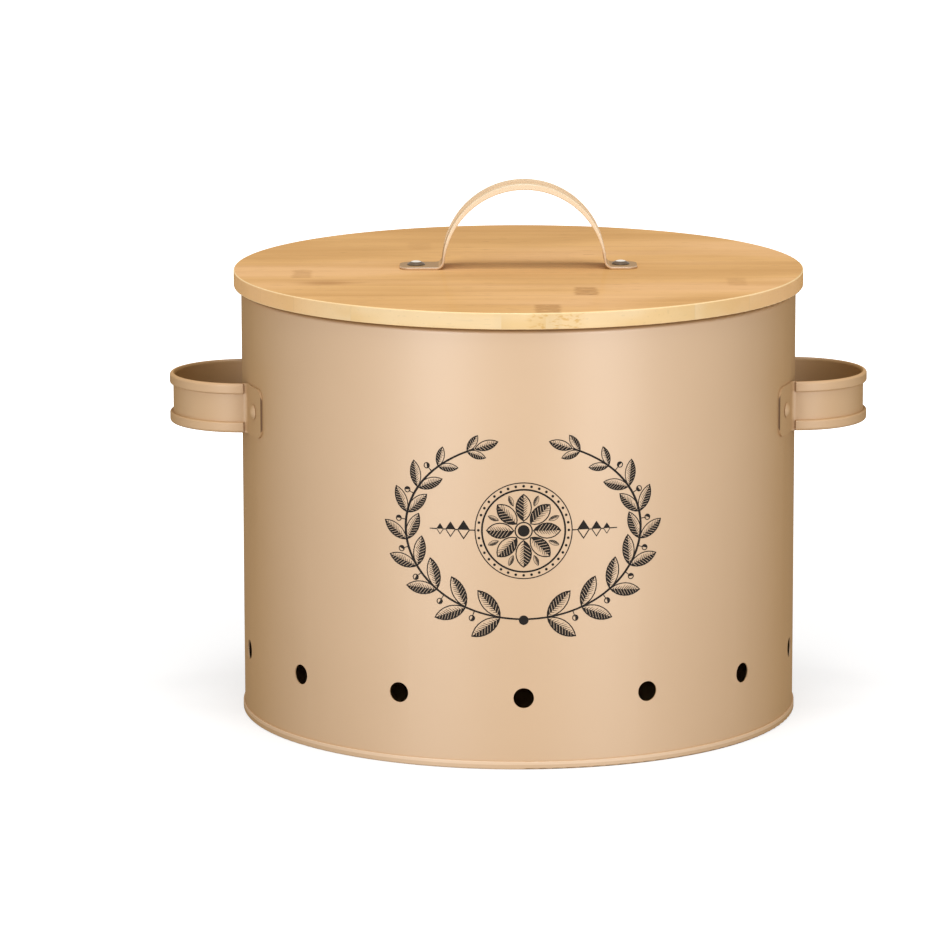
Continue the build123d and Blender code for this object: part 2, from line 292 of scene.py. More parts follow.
def raise_surface(tree, shader, height, depth, normal=None):
    """A bump of this depth in metres, on the mesh's own normal or on a given one."""
    bump = add(tree, "Bump")
    bump.inputs["Distance"].default_value = depth
    feed(tree, bump.inputs["Height"], height)
    if normal:
        feed(tree, bump.inputs["Normal"], normal)
        feed(tree, shader.inputs["Coat Normal"], normal)
    feed(tree, shader.inputs["Normal"], bump.outputs["Normal"])


def fade_gloss(tree, shader, near, far, most=1.0):
    """Coat gloss that is fullest face on and fades as the surface turns away."""
    turn = add(tree, "LayerWeight")
    turn.inputs["Blend"].default_value = 0.5
    feed(tree, shader.inputs["Coat Weight"], spread(tree, turn.outputs["Facing"], near, far, most, 0.0))


def along_axis(tree, point, axis):
    """One coordinate of a point."""
    split = add(tree, "SeparateXYZ")
    feed(tree, split.inputs[0], point)
    return split.outputs[axis]


def band(tree, value, low, high, soft):
    """1 between low and high, fading to 0 over the distance soft on both sides."""
    rise = spread(tree, value, low - soft, low)
    fall = spread(tree, value, high, high + soft, 1.0, 0.0)
    return maths(tree, "MULTIPLY", rise, fall)


def make_paint(name, gloss=1.0, gloss_fade=(0.10, 0.80), waves=peel_waves, accent=None, round_off=None):
    """A satin powder coat; accent may change its colour and round_off its normal."""
    material, tree, shader, point = new_material(name)
    peel = place_group(tree, peel_group, Point=point, Size=waves)
    drift = spread(tree, peel.outputs["Mottle"], 0.3, 0.7)
    colour = blend_colours(tree, drift, paint_deep, paint_full)
    if accent:
        colour = accent(tree, point, colour)
    feed(tree, shader.inputs["Base Color"], colour)
    feed(tree, shader.inputs["Roughness"], spread(tree, peel.outputs["Mottle"], 0.3, 0.7, 0.5, 0.56))
    shader.inputs["Specular IOR Level"].default_value = 0.0
    shader.inputs["Coat IOR"].default_value = 2.2
    shader.inputs["Coat Roughness"].default_value = 0.46
    fade_gloss(tree, shader, *gloss_fade, gloss)
    normal = round_off(tree, point) if round_off else None
    raise_surface(tree, shader, peel.outputs["Height"], peel_depth, normal)
    return material


def shade_rim_edge(tree, point, colour):
    """Painted shade along the top of the rim, for the shadow under the lid's edge."""
    height = along_axis(tree, point, "Z")
    rim_shade_share = spread(tree, height, wall_top - 2 * rim_shade_height, wall_top - 0.5 * rim_shade_height, 0, 0.75)
    return blend_colours(tree, rim_shade_share, colour, paint_shade)


def round_rim(tree, point):
    """The true normal of the rolled rim, smoother than the corners of its mesh can give."""
    radial = vectors(tree, "NORMALIZE", stretched(tree, point, (1, 1, 0)))
    on_circle = stretched(tree, radial, (curl_middle, curl_middle, 0))
    centre = vectors(tree, "ADD", on_circle, (0, 0, curl_height))
    away = vectors(tree, "SUBTRACT", point, centre)
    own = own_normal(tree)
    outward = add(tree, "VectorMath", operation="SCALE")  # both faces of the sheet point their own way
    feed(tree, outward.inputs[0], away)
    feed(tree, outward.inputs["Scale"], maths(tree, "SIGN", vectors(tree, "DOT_PRODUCT", away, own)))
    on_rim = maths(tree, "GREATER_THAN", along_axis(tree, point, "Z"), curl_height)
    chosen = add(tree, "Mix", data_type="VECTOR")
    feed(tree, chosen.inputs["Factor"], on_rim)
    feed(tree, chosen.inputs[4], own)
    feed(tree, chosen.inputs[5], vectors(tree, "NORMALIZE", outward.outputs[0]))
    to_world = add(tree, "VectorTransform", vector_type="NORMAL",
                   convert_from="OBJECT", convert_to="WORLD")
    feed(tree, to_world.inputs[0], chosen.outputs[1])
    return to_world.outputs[0]


wall_paint = make_paint("beige_paint_wall", accent=shade_rim_edge, round_off=round_rim)
dress(wall_paint, "body_shell")

# %% [markdown]
# Some edges and hollows carry painted light and shade. A painted highlight runs along the top of
# the folded foot of the bin and on the rolled edges of the lid's handle. Painted shade darkens the
# inside of the side handles, most of all round the nose, and the arris of the rolls and the flat
# feet of the lid's handle. A painted shadow lies on the cut ends of the tabs. All of these are
# masks on the bin's own coordinates and normals, so they stay put when the view turns.

# %% Paint on the foot
foot_height = 3.2 * MM  # of the folded edge
foot_line = 1.1 * MM  # width of the painted highlight
foot_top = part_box("base_plate")[0].z + foot_height


def highlight_foot(tree, point, colour):
    """A painted highlight along the top of the folded foot."""
    height = along_axis(tree, point, "Z")
    foot_highlight = band(tree, height, foot_top - foot_line, foot_top + 1 * MM, 0.4 * MM)
    return blend_colours(tree, maths(tree, "MULTIPLY", foot_highlight, 0.9), colour, paint_highlight)


foot_paint = make_paint("beige_paint_foot", accent=highlight_foot)
dress(foot_paint, "base_plate")

# %% Paint on the side handles
tab_reach = 6 * MM  # from the tabs' ends to about where the strap leaves the wall
handle_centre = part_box("side_handle_right")[0].x + tab_reach
tab_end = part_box("side_handle_right")[1].y
bend_reach = 20 * MM  # how far out the painted shade keeps growing stronger
handle_gloss = 0.55
gap_shade = tone(92, 62, 32)  # painted shadow in the gap at the cut end of a tab


def shade_inside(tree, point, colour):
    """Painted shade on a strap's faces toward the wall, and painted shadow on the tabs' cut ends."""
    along = along_axis(tree, point, "X")
    centre = add(tree, "CombineXYZ")
    feed(tree, centre.inputs["X"], maths(tree, "MULTIPLY", maths(tree, "SIGN", along), handle_centre))
    arm = vectors(tree, "SUBTRACT", stretched(tree, point, (1, 1, 0)), centre.outputs[0])
    outward = vectors(tree, "DOT_PRODUCT", own_normal(tree), vectors(tree, "NORMALIZE", arm))
    inside = spread(tree, outward, -0.5, -0.1, 1.0, 0.0)
    from_axis = maths(tree, "ABSOLUTE", along)
    shade_strength = spread(tree, from_axis, handle_centre, handle_centre + bend_reach, 0.25, 0.85)
    colour = blend_colours(tree, maths(tree, "MULTIPLY", inside, shade_strength), colour, paint_shade)
    sideways = maths(tree, "ABSOLUTE", along_axis(tree, point, "Y"))
    gap_shadow = spread(tree, sideways, tab_end - 0.4 * MM, tab_end - 0.15 * MM, 0.0, 0.95)
    return blend_colours(tree, gap_shadow, colour, gap_shade)


handle_paint = make_paint("beige_paint_handles", handle_gloss, accent=shade_inside)
dress(handle_paint, *(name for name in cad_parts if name.startswith("side_")))

# %% Paint on the lid's handle
strap_lowest, strap_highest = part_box("lid_handle")
arch_offset = 2.3 * MM  # the arch is bent this far off the middle of its feet
roll_width = 2.8 * MM
strap_middle_x = 0.5 * (strap_lowest.x + strap_highest.x) + arch_offset
roll_inside = strap_highest.y - roll_width
strap_waves = 6 * MM  # broad, because fine waves sparkle on so narrow a strap
# painted highlight on the rolled edges, above the feet
paint_roll_highlight = tone(222, 196, 159)
# painted shade on the flat feet
paint_foot_shade = tone(152, 122, 86)


def light_and_shade_strap(tree, point, colour):
    """Painted highlight on the rolled edges, and painted shade along their arris and on the feet."""
    normal = own_normal(tree)
    facing_y = maths(tree, "ABSOLUTE", along_axis(tree, normal, "Y"))
    facing_z = along_axis(tree, normal, "Z")
    height = along_axis(tree, point, "Z")
    sideways = maths(tree, "ABSOLUTE", along_axis(tree, point, "Y"))
    on_roll = spread(tree, sideways, roll_inside - 0.8 * MM, roll_inside - 0.1 * MM)
    above_foot = spread(tree, height, lid_top + 1.5 * MM, lid_top + 12 * MM)
    colour = blend_colours(tree, maths(tree, "MULTIPLY", on_roll, above_foot), colour, paint_roll_highlight)

    from_middle = maths(tree, "SUBTRACT", along_axis(tree, point, "X"), strap_middle_x)
    outward_x = maths(tree, "MULTIPLY", along_axis(tree, normal, "X"), maths(tree, "SIGN", from_middle))
    outward = maths(tree, "MAXIMUM", outward_x, facing_z)
    turned = band(tree, facing_y, 0.35, 0.85, 0.1)
    # painted shade along the arris of the rolls
    arris = maths(tree, "MULTIPLY", turned, spread(tree, outward, 0.2, 0.4))
    colour = blend_colours(tree, maths(tree, "MULTIPLY", arris, 0.35), colour, paint_shade)

    flat = spread(tree, facing_z, 0.8, 0.97)
    low = spread(tree, height, lid_top + 2 * MM, lid_top + 1.2 * MM)
    on_foot = maths(tree, "MULTIPLY", flat, maths(tree, "MULTIPLY", low, 0.8))
    return blend_colours(tree, on_foot, colour, paint_foot_shade)


strap_paint = make_paint("beige_paint_strap", 1.0, (0.6, 0.95), strap_waves, light_and_shade_strap)
dress(strap_paint, "lid_handle")

# %% [markdown]
# ## Bamboo
# The board is glued up from strips about 21 mm wide, all running the same way as the handle.
# Bamboo is told apart from wood by four marks: strips of slightly different tone, long straight
# fibres, short dark dashes where the fibre bundles are cut, and here and there a node, the ring
# that divides a cane, which is planed down to a frayed bar across one strip. The tone also
# drifts slowly over the board, rosier here and browner there, and one strip has a soft brown
# streak. The sawn edge is paler than the faces, because the oil and the light have not yellowed
# it as much, and it turns redder where the saw cuts across the ends of the fibres. Below the
# node that lies at the very edge, the sawn face is speckled.

# %% Bamboo colours and sizes
strip_width = 21 * MM
strip_start = 0.46  # where the first joint lies, in strips
joint_width = 0.02  # glue line, in strips
edge_round = 0.5 * MM  # radius of the board's rounded edges
strip_tones = [0.45, 0.75, 0.50, 0.25, 0.60, 0.35, 0.50, 0.60, 0.20, 0.40, 0.10, 0.25]
strip_count = len(strip_tones)
pattern_lumps = {
    # lumps per metre along the grain, across it and down into the board
    "drift": (9, 26, 42),
    "ragged ends": (25, 650, 0),
    "frays": (170, 1100, 0),
    "streak": (12, 420, 0),
    "flecks": (300, 800, 800),
}
node_marks = {
    # middle along and across the grain, half length, strength; in millimetres
    "front": (25.5, -62.5, 3.8, 1.00),
    "edge": (9.5, -104.5, 4.2, 1.00),
    "left": (-87.0, -17.0, 3.0, 0.60),
    "right": (86.0, -40.0, 3.0, 0.45),
    "back": (-40.0, 56.0, 4.0, 0.28),
}
speck_start, speck_end = 5 * MM, 20 * MM  # where the edge node comes out on the sawn face
stain_middle, stain_reach = (-77.0, -40.0), (14.0, 9.0)  # a soft brown streak, in millimetres
honey_light = tone(220, 167, 100)
honey_mid = tone(202, 145, 78)
honey_deep = tone(182, 124, 54)
honey_rose = tone(236, 184, 136)
node_brown = tone(156, 92, 10)
node_dark = tone(128, 74, 6)
edge_cream = tone(246, 224, 180)
edge_gold = tone(242, 211, 154)
end_grain = tone(246, 196, 132)
edge_speck = tone(220, 176, 100)
# painted highlight on the board's top and lower arris
arris_highlight = tone(250, 220, 168)
# painted shade on the lower rounded edge, for the shadow under the lid's edge
arris_shade = tone(110, 76, 38)


# %% Bamboo helpers
def tint_over(tree, colour, tints):
    """Lays tints over a colour, each by its own pattern."""
    for pattern, start, full, strength, tint in tints:
        colour = blend_colours(tree, spread(tree, pattern, start, full, 0, strength), colour, tint)
    return colour


def tint_strips(tree, strip_number):
    """The tone of each strip, from the front of the board to the back, as a stepped ramp."""
    ramp = add(tree, "ValToRGB")
    ramp.color_ramp.interpolation = "CONSTANT"
    stops = ramp.color_ramp.elements
    for index, lightness in enumerate(strip_tones):
        stop = stops[index] if index < 2 else stops.new(0)
        stop.position = index / strip_count
        stop.color = (lightness, lightness, lightness, 1)
    middle = maths(tree, "ADD", strip_number, 0.5 * strip_count + 0.5)
    feed(tree, ramp.inputs["Fac"], maths(tree, "DIVIDE", middle, strip_count))
    return ramp.outputs["Color"]


def node_mask(tree, point, mark):
    """Where one node crosses its strip: a bar with ragged ends along the grain."""
    along, across, half_length, strength = mark
    ragged = noise(tree, stretched(tree, point, pattern_lumps["ragged ends"]), 1.0, 2.0)
    reach_out = maths(tree, "ADD", (half_length - 1.3) * MM, maths(tree, "MULTIPLY", ragged, 5 * MM))
    x_away = maths(tree, "ABSOLUTE", maths(tree, "SUBTRACT", along_axis(tree, point, "X"), along * MM))
    y_away = maths(tree, "ABSOLUTE", maths(tree, "SUBTRACT", along_axis(tree, point, "Y"), across * MM))
    in_x = spread(tree, maths(tree, "SUBTRACT", x_away, reach_out), -1.5 * MM, 0.5 * MM, 1.0, 0.0)
    in_y = spread(tree, y_away, 0.44 * strip_width, 0.5 * strip_width, strength, 0.0)
    return maths(tree, "MULTIPLY", in_x, in_y)


def stain_mask(tree, point):
    """The soft streak: strongest in its middle, fraying out along the fibres."""
    streak = noise(tree, stretched(tree, point, pattern_lumps["streak"]), 1.0, 3.0)
    middle = (stain_middle[0] * MM, stain_middle[1] * MM, lid_top)
    per_reach = (1 / (stain_reach[0] * MM), 1 / (stain_reach[1] * MM), 0)
    share = stretched(tree, vectors(tree, "SUBTRACT", point, middle), per_reach)
    away = vectors(tree, "LENGTH", share)
    frayed = maths(tree, "SUBTRACT", away, maths(tree, "MULTIPLY", streak, 2.2))
    return spread(tree, frayed, 0.0, -1.1, 0.0, 0.8)


def facing_up(tree, point, lowest, highest):
    """How far a rounded edge has turned up (1) or down (-1), from the height on it."""
    height = along_axis(tree, point, "Z")
    up = maths(tree, "SUBTRACT", height, highest - edge_round)
    up = maths(tree, "DIVIDE", up, edge_round, clamp=True)
    down = maths(tree, "SUBTRACT", lowest + edge_round, height)
    down = maths(tree, "DIVIDE", down, edge_round, clamp=True)
    return maths(tree, "SUBTRACT", up, down)


# %% Bamboo
def make_bamboo(name, node_name, light, mid, deep, roughness, marked):
    """Strips of bamboo along X, for flat faces and for the edge they are sawn at."""
    material, tree, shader, point = new_material(name)
    lowest, highest = (corner.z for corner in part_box(node_name))
    across = maths(tree, "DIVIDE", along_axis(tree, point, "Y"), strip_width)
    across = maths(tree, "ADD", across, strip_start)
    strip_number = maths(tree, "FLOOR", across)
    strip_place = maths(tree, "FRACT", across)

    fibre = place_group(tree, fibre_group, Point=point, Strip=strip_number).outputs
    drift = noise(tree, stretched(tree, point, pattern_lumps["drift"]), 1.0, 1.0)
    side = maths(tree, "ABSOLUTE", maths(tree, "SUBTRACT", strip_place, 0.5))
    tints = [
        # pattern, where the tint starts, where it is full, how strong it is then, the tint
        (fibre["Cloud"], 0.44, 0.70, 0.55, deep),
        (fibre["Streak"], 0.50, 0.70, 0.38, deep),
        (fibre["Streak"], 0.46, 0.32, 0.42, light),
        (fibre["Pore"], 0.60, 0.70, 0.22, deep),
        (drift, 0.46, 0.66, 0.42, honey_rose),
        (drift, 0.50, 0.34, 0.50, deep),
        (fibre["Dash"], 0.72, 0.78, 0.40, node_dark),
        (side, 0.5 - joint_width, 0.5, 0.30, node_dark),
    ]
    colour = tint_over(tree, blend_colours(tree, tint_strips(tree, strip_number), mid, light), tints)

    frays = noise(tree, stretched(tree, point, pattern_lumps["frays"]), 1.0, 3.0, 0.6)
    node_tone = tint_over(tree, blend_colours(tree, 0.65, colour, node_brown), [
        (frays, 0.50, 0.68, 0.8, node_dark),
        (frays, 0.46, 0.34, 0.6, light),
    ])
    if marked:
        for mark in node_marks.values():
            colour = blend_colours(tree, node_mask(tree, point, mark), colour, node_tone)
        colour = blend_colours(tree, stain_mask(tree, point), colour, node_brown)

    normal_up = facing_up(tree, point, lowest, highest)
    flecks = noise(tree, stretched(tree, point, pattern_lumps["flecks"]), 1.0, 2.0, 0.6)
    cut = spread(tree, maths(tree, "ABSOLUTE", normal_up), 0.3, 0.6, 0.72, 0.0)
    cut_tone = blend_colours(tree, spread(tree, fibre["Cloud"], 0.35, 0.65), edge_cream, edge_gold)
    speck_span = band(tree, along_axis(tree, point, "X"), speck_start, speck_end, 5 * MM)
    specks = maths(tree, "MULTIPLY", speck_span, spread(tree, flecks, 0.50, 0.66, 0.15, 0.8))
    cut_tone = blend_colours(tree, specks, cut_tone, edge_speck)
    across_grain = maths(tree, "ABSOLUTE", along_axis(tree, own_normal(tree), "X"))
    cut_tone = blend_colours(tree, spread(tree, across_grain, 0.5, 0.95), cut_tone, end_grain)
    colour = blend_colours(tree, cut, colour, cut_tone)
    # painted highlights on the upper and lower arris, painted shade on the lower rounded edge
    upper = band(tree, normal_up, 0.35, 0.9, 0.15)
    colour = blend_colours(tree, maths(tree, "MULTIPLY", upper, 0.8), colour, arris_highlight)
    under_arris = band(tree, normal_up, -0.5, -0.2, 0.12)
    colour = blend_colours(tree, maths(tree, "MULTIPLY", under_arris, 0.7), colour, arris_highlight)
    lower = spread(tree, normal_up, -0.55, -0.75, 0.0, 0.85)
    flat_under = spread(tree, normal_up, -0.985, -0.9)
    colour = blend_colours(tree, maths(tree, "MULTIPLY", lower, flat_under), colour, arris_shade)

    feed(tree, shader.inputs["Base Color"], colour)
    feed(tree, shader.inputs["Roughness"],
         spread(tree, fibre["Streak"], 0.3, 0.7, roughness, roughness + 0.08))
    shader.inputs["Specular IOR Level"].default_value = 0.0
    shader.inputs["Coat Roughness"].default_value = 0.12
    fade_gloss(tree, shader, 0.3, 1.0, 0.35)
    raise_surface(tree, shader, fibre["Streak"], 0.015 * MM)
    return material


board_bamboo = make_bamboo("bamboo_board", "lid_board", honey_light, honey_mid, honey_deep, 0.42, True)
plug_bamboo = make_bamboo("bamboo_plug", "lid_plug", honey_mid, honey_mid, honey_deep, 0.55, False)
dress(board_bamboo, "lid_board")
dress(plug_bamboo, "lid_plug")

# %% [markdown]
# ## Rivets, washers and the seal
# The lid's rivets are polished steel domes, with a painted dark reflection round the skirt. The
# washers under them are duller, and the ring in the plug's groove is milky silicone.


# %% Steel
head_radius = 3.6 * MM
rivet_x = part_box("lid_rivet_right")[0].x + head_radius
steel_light = tone(236, 232, 226)
# painted dark reflection round a rivet's skirt
steel_dark_reflection = tone(84, 66, 46)


def from_rivet_axis(tree, point):
    """Distance from the nearer of the two rivets' upright axes."""
    x_away = maths(tree, "SUBTRACT", maths(tree, "ABSOLUTE", along_axis(tree, point, "X")), rivet_x)
    y_away = along_axis(tree, point, "Y")
    x_squared = maths(tree, "MULTIPLY", x_away, x_away)
    y_squared = maths(tree, "MULTIPLY", y_away, y_away)
    return maths(tree, "SQRT", maths(tree, "ADD", x_squared, y_squared))


def make_steel(name, tint, rough_low, rough_high, ring=0.0):
    """Bare steel with a fine, cloudy polish; ring sets a painted dark reflection round a rivet's skirt.
    """
    material, tree, shader, point = new_material(name)
    polish = noise(tree, point, 900.0, 3.0)
    colour = blend_colours(tree, polish, tint, steel_light)
    reach_out = maths(tree, "DIVIDE", from_rivet_axis(tree, point), head_radius)
    painted_reflection = maths(tree, "MULTIPLY", band(tree, reach_out, 0.62, 1.2, 0.12), ring)
    colour = blend_colours(tree, painted_reflection, colour, steel_dark_reflection)
    feed(tree, shader.inputs["Base Color"], colour)
    feed(tree, shader.inputs["Roughness"], spread(tree, polish, 0.3, 0.7, rough_low, rough_high))
    feed(tree, shader.inputs["Metallic"], maths(tree, "SUBTRACT", 1.0, painted_reflection))
    shader.inputs["Specular IOR Level"].default_value = 0.1
    return material


rivet_steel = make_steel("rivet_steel", tone(232, 220, 200), 0.3, 0.38, 0.95)
washer_steel = make_steel("washer_steel", tone(186, 182, 176), 0.3, 0.45)
dress(rivet_steel, "lid_rivet_left", "lid_rivet_right")
dress(washer_steel, "lid_washer_left", "lid_washer_right")


# %% Silicone
def make_silicone(name):
    """Milky rubber with a faint bloom, which light enters a little."""
    material, tree, shader, point = new_material(name)
    bloom = noise(tree, point, 300.0, 2.0)
    colour = blend_colours(tree, bloom, tone(226, 222, 214), tone(240, 237, 230))
    feed(tree, shader.inputs["Base Color"], colour)
    feed(tree, shader.inputs["Roughness"], spread(tree, bloom, 0.3, 0.7, 0.5, 0.6))
    shader.inputs["Subsurface Weight"].default_value = 0.2
    shader.inputs["Subsurface Scale"].default_value = 1 * MM
    return material


dress(make_silicone("milky_silicone"), "lid_seal_ring")

# %% [markdown]
# ## Ink ornament
# The front carries a one-colour print in the manner of an old engraving: a wreath of two leafy
# branches with berries, a rosette in the middle and a row of lozenges on each side of it. A print
# could be a texture, but lines a few tenths of a millimetre wide stay sharp from every distance
# when they are geometry, and they survive the export. The ornament is drawn flat, given the
# thickness of a film of ink, and rolled round the wall like a transfer. Shapes that overlap lie
# on layers a few thousandths of a millimetre apart, so that no two faces fight for one place.

# %% Ink sizes
line_width = 0.42 * MM
ink_film = 0.055 * MM  # how far the lowest layer stands off the wall
layer_step = 0.006 * MM
ink_root = 0.10 * MM  # how far the ink reaches into the wall, so no gap shows
vein_every = 1.35 * MM
vein_width = 0.24 * MM
vein_lean = math.radians(55)  # between a vein and the midrib
bend_step = 3 * MM  # the flat shapes are cut this often to follow the wall
ornament_height = 0.095  # middle of the ornament above the table
draw = random.Random(5)  # small unevenness of the engraver's hand


# %% Drawing helpers
def set_down(at=(0, 0), turn=0.0, size=(1, 1)):
    """The transform that sizes, turns and moves a flat shape on the sheet, in millimetres."""
    place = Matrix.Translation((at[0] * MM, at[1] * MM, 0))
    return place @ Matrix.Rotation(turn, 4, "Z") @ Matrix.Diagonal((size[0], size[1], 1, 1))


def step_from(spot, angle, distance):
    """The point at this distance from a spot, in this direction."""
    return spot[0] + distance * math.cos(angle), spot[1] + distance * math.sin(angle)


def disc(sheet, radius, at=(0, 0), segments=20):
    """A filled circle."""
    bmesh.ops.create_circle(
        sheet, cap_ends=True, segments=segments, radius=radius * MM, matrix=set_down(at)
    )


def stroke(sheet, length, width, at, turn, thin=0.35):
    """A stroke that starts full and ends thin, as a graver leaves it."""
    made = bmesh.ops.create_grid(sheet, x_segments=1, y_segments=1, size=0.5 * MM)
    for vertex in made["verts"]:
        if vertex.co.x > 0:
            vertex.co.y *= thin
    from_end = Matrix.Translation((0.5 * MM, 0, 0))
    shape = set_down(at, turn, (length, width)) @ from_end
    bmesh.ops.transform(sheet, matrix=shape, verts=made["verts"])


def arc_band(sheet, radius, width, start, end, steps):
    """A curved line: a short edge spun about the middle, between two angles in degrees."""
    turn = Matrix.Rotation(math.radians(start), 4, "Z")
    reaches = (radius - width / 2, radius + width / 2)
    ends = [sheet.verts.new(turn @ Vector((far * MM, 0, 0))) for far in reaches]
    edge = sheet.edges.new(ends)
    full = abs(end - start) >= 360
    bmesh.ops.spin(
        sheet, geom=[*ends, edge], cent=(0, 0, 0), axis=(0, 0, 1),
        angle=math.radians(end - start), steps=steps, use_merge=full,
    )


def keep_mesh(sheet, name):
    """Stores a flat drawing so that it can be repeated."""
    mesh = bpy.data.meshes.new(name)
    sheet.to_mesh(mesh)
    sheet.free()
    return mesh


def repeat(sheet, mesh, place):
    """Adds a stored drawing to a sheet at this place."""
    before = set(sheet.verts)
    sheet.from_mesh(mesh)
    bmesh.ops.transform(sheet, matrix=place, verts=[v for v in sheet.verts if v not in before])


print(f"Ink stands {ink_film / MM:.3f} mm off the wall, lines {line_width / MM:.2f} mm wide")

# %% [markdown]
# ### One leaf
# A leaf is two shallow arcs that meet in points: one corner spun about a far centre, and its
# mirror image. Insetting the face gives the outline. One half stays solid with fine veins cut out
# of it by pairs of bisecting lines; the other half is opened and hatched with tapering strokes.


# %% Shaded shapes
def half_shade(sheet, face, line, veined=False):
    """Outlines a face, keeps its upper half solid, cut by veins or not, and opens its lower half."""
    bmesh.ops.inset_region(sheet, faces=[face], thickness=line, use_even_offset=True, use_boundary=True)

    def slice_inner(faces, place, way):
        edges = {edge for f in faces for edge in f.edges}
        verts = {vertex for f in faces for vertex in f.verts}
        cut = bmesh.ops.bisect_plane(
            sheet, geom=[*verts, *edges, *faces], plane_co=place, plane_no=way, dist=1e-7
        )
        return [part for part in cut["geom"] if isinstance(part, bmesh.types.BMFace)]

    halves = slice_inner([face], (0, 0, 0), (0, 1, 0))
    lower = [f for f in halves if f.calc_center_median().y < 0]
    upper = [f for f in halves if f not in lower]
    bmesh.ops.delete(sheet, geom=lower, context="FACES_ONLY")
    if veined:
        length = max(v.co.x for v in sheet.verts)
        way = Vector((math.sin(vein_lean), -math.cos(vein_lean), 0))
        gaps = []
        place = 1.4 * vein_every
        while place < length - vein_every:
            for edge_of_vein in (place, place + vein_width):
                upper = slice_inner(upper, (edge_of_vein, 0, 0), way)
            gaps.append((place * way.x, (place + vein_width) * way.x))
            place += vein_every
        veins = [f for f in upper if any(a < f.calc_center_median().dot(way) < b for a, b in gaps)]
        bmesh.ops.delete(sheet, geom=veins, context="FACES_ONLY")
    loose = [edge for edge in sheet.edges if not edge.link_faces]
    bmesh.ops.delete(sheet, geom=loose, context="EDGES")


def lens_face(sheet, length, width, steps=8):
    """A pointed oval from (0, 0) along +X, as one face."""
    half_length, half_width = 0.5 * length * MM, 0.5 * width * MM
    bow = (half_length**2 + half_width**2) / (2 * half_width)
    tip = sheet.verts.new((0, 0, 0))
    bmesh.ops.spin(
        sheet, geom=[tip], cent=(half_length, half_width - bow, 0), axis=(0, 0, -1),
        angle=2 * math.asin(half_length / bow), steps=steps,
    )
    bmesh.ops.mirror(
        sheet, geom=[*sheet.verts, *sheet.edges], matrix=Matrix.Identity(4), merge_dist=1e-6, axis="Y"
    )
    bmesh.ops.remove_doubles(sheet, verts=sheet.verts, dist=1e-6)
    made = bmesh.ops.contextual_create(sheet, geom=sheet.edges[:])
    return made["faces"][0]


def leaf_drawing(name, length, width, hatch_every):
    """A half-shaded leaf with hatching in its open half."""
    sheet = bmesh.new()
    half_shade(sheet, lens_face(sheet, length, width), line_width, veined=True)
    place = 1.6
    while place < length - 2.0:
        share = 1 - abs(2 * place / length - 1) ** 2
        reach_down = 0.5 * width * share * draw.uniform(0.55, 0.85)
        stroke(sheet, reach_down, 0.3, (place, 0), -math.radians(draw.uniform(48, 56)))
        place += hatch_every
    return keep_mesh(sheet, name)


leaf = leaf_drawing("leaf", 14.0, 5.8, 1.0)
small_leaf = leaf_drawing("small_leaf", 11.0, 4.6, 1.0)
petal = leaf_drawing("petal", 11.0, 6.4, 0.9)
print("Leaf faces:", len(leaf.polygons), len(small_leaf.polygons), len(petal.polygons))


# %% Berry
def berry_drawing(name, radius):
    """A ringed, half-shaded berry."""
    sheet = bmesh.new()
    made = bmesh.ops.create_circle(sheet, cap_ends=True, segments=16, radius=radius * MM)
    half_shade(sheet, made["verts"][0].link_faces[0], 0.8 * line_width)
    return keep_mesh(sheet, name)


berry = berry_drawing("berry", 1.25)
print("Berry faces:", len(berry.polygons))

# %% [markdown]
# ### From the flat sheet to the wall
# Each sheet is cut into upright bands 3 mm wide, extruded to the thickness of the film, and bent:
# the distance across becomes an angle about the bin's axis, and the thickness points outwards.


# %% Roll a sheet round the wall
def ink_material():
    """Dark ink with a dull, slightly broken surface that lets a little of the coat show."""
    material, tree, shader, point = new_material("black_ink")
    peel = place_group(tree, peel_group, Point=point, Size=peel_waves)
    grain = noise(tree, point, 2600.0, 2.0)
    colour = blend_colours(tree, peel.outputs["Mottle"], tone(24, 20, 17), tone(36, 31, 27))
    colour = blend_colours(tree, spread(tree, grain, 0.60, 0.75, 0, 0.4), colour, tone(74, 62, 50))
    feed(tree, shader.inputs["Base Color"], colour)
    feed(tree, shader.inputs["Roughness"], spread(tree, grain, 0.3, 0.7, 0.6, 0.75))
    shader.inputs["Specular IOR Level"].default_value = 0.15
    raise_surface(tree, shader, peel.outputs["Height"], peel_depth)
    return material


ink = ink_material()


def print_on_wall(sheets, name):
    """Rolls flat sheets round the wall as one printed piece; later sheets lie on top."""
    whole = bmesh.new()
    for layer, sheet in enumerate(sheets):
        half_span = max(abs(v.co.x) for v in sheet.verts)
        cuts = int(half_span / bend_step)
        for k in range(-cuts, cuts + 1):
            bmesh.ops.bisect_plane(
                sheet, geom=[*sheet.verts, *sheet.edges, *sheet.faces],
                plane_co=(k * bend_step, 0, 0), plane_no=(1, 0, 0), dist=1e-7,
            )
        grown = bmesh.ops.extrude_face_region(sheet, geom=sheet.faces[:])
        lifted = [part for part in grown["geom"] if isinstance(part, bmesh.types.BMVert)]
        film = ink_film + layer * layer_step
        bmesh.ops.translate(sheet, vec=(0, 0, film + ink_root), verts=lifted)
        for vertex in sheet.verts:
            angle = vertex.co.x / wall_radius
            radius = wall_radius - ink_root + vertex.co.z
            height = ornament_height + vertex.co.y
            vertex.co = (radius * math.sin(angle), -radius * math.cos(angle), height)
        part_mesh = keep_mesh(sheet, name + "_layer")
        whole.from_mesh(part_mesh)
        bpy.data.meshes.remove(part_mesh)
    bmesh.ops.recalc_face_normals(whole, faces=whole.faces[:])
    mesh = keep_mesh(whole, name)
    mesh.materials.append(ink)
    piece = bpy.data.objects.new(name, mesh)
    bpy.context.scene.collection.objects.link(piece)
    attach(piece, "bin")
    print(f"{name}: {len(mesh.polygons)} faces")


